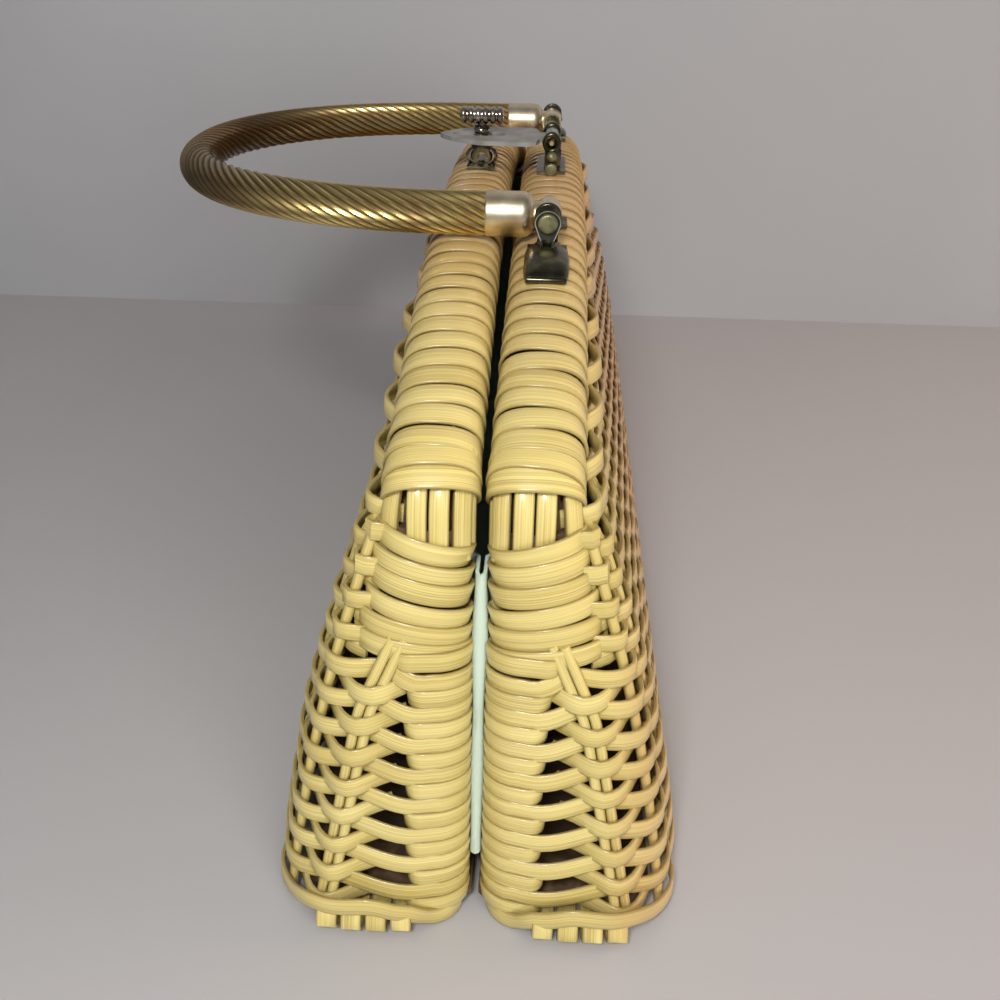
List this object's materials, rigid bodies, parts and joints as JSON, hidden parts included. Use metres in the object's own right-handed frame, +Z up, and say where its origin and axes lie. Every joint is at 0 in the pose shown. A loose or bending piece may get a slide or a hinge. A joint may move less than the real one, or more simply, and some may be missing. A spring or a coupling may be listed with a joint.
{
  "type": "basket box bag",
  "caption": "Woven reed box bag in two hinged halves with arched wrapped rims, a twisted metal swing handle and a turn clasp.",
  "frame": {"origin": "middle of the bag's whole footprint, handle included, on the floor", "axes": "+X along the bag from its near end to its far end, +Y from the front half to the back half, +Z up"},
  "size_m": [0.3446, 0.14, 0.138],
  "materials": {
    "reed": "satin varnish",
    "lining_cloth": "plain woven cloth",
    "handle_brass": "worn antique",
    "ferrule_gold": "satin",
    "grey_metal": "dull nickel",
    "antique_metal": "dark antique",
    "hinge_brass": "satin"
  },
  "bodies": {
    "back_half": {"back_base": "reed", "back_corner_strips": "reed", "back_end_posts": "reed", "back_floor_reeds": "reed", "back_hinge_leaves": "hinge_brass", "back_lining": "lining_cloth", "back_neck_bindings": "reed", "back_stakes": "reed", "back_top_binding": "reed", "back_weave": "reed", "gussets": "lining_cloth", "hinge_pins": "hinge_brass", "stud": "antique_metal", "stud_nails": "antique_metal"},
    "front_half": {"front_base": "reed", "front_corner_strips": "reed", "front_end_posts": "reed", "front_floor_reeds": "reed", "front_hinge_leaves": "hinge_brass", "front_lining": "lining_cloth", "front_neck_bindings": "reed", "front_stakes": "reed", "front_top_binding": "reed", "front_weave": "reed", "near_handle_bracket": "antique_metal", "far_handle_bracket": "antique_metal", "handle_pins": "antique_metal", "hasp_bracket": "antique_metal", "hasp_bracket_nails": "antique_metal", "hasp_pin": "antique_metal"},
    "handle": {"handle_tube": "handle_brass", "handle_ferrules": "ferrule_gold"},
    "hasp": {"hasp": "grey_metal"},
    "toggle": {"toggle": "antique_metal"}
  },
  "joints": [
    {"name": "shell_opening", "type": "hinge", "parent": "back_half", "child": "front_half", "pos_m": [0, -0.02871, 0.004], "axis": [1, 0, 0], "range_deg": [0, 60], "deforming": ["gussets"]},
    {"name": "handle_swing", "type": "hinge", "parent": "front_half", "child": "handle", "pos_m": [0, -0.03895, 0.12347], "axis": [1, 0, 0], "range_deg": [0, 178]},
    {"name": "hasp_swing", "type": "hinge", "parent": "front_half", "child": "hasp", "pos_m": [0, -0.03911, 0.1298], "axis": [1, 0, 0], "range_deg": [0, 105]},
    {"name": "toggle_turn", "type": "hinge", "parent": "back_half", "child": "toggle", "pos_m": [0, -0.01831, 0.1357], "axis": [0, 0, 1], "range_deg": [0, 90]}
  ]
}
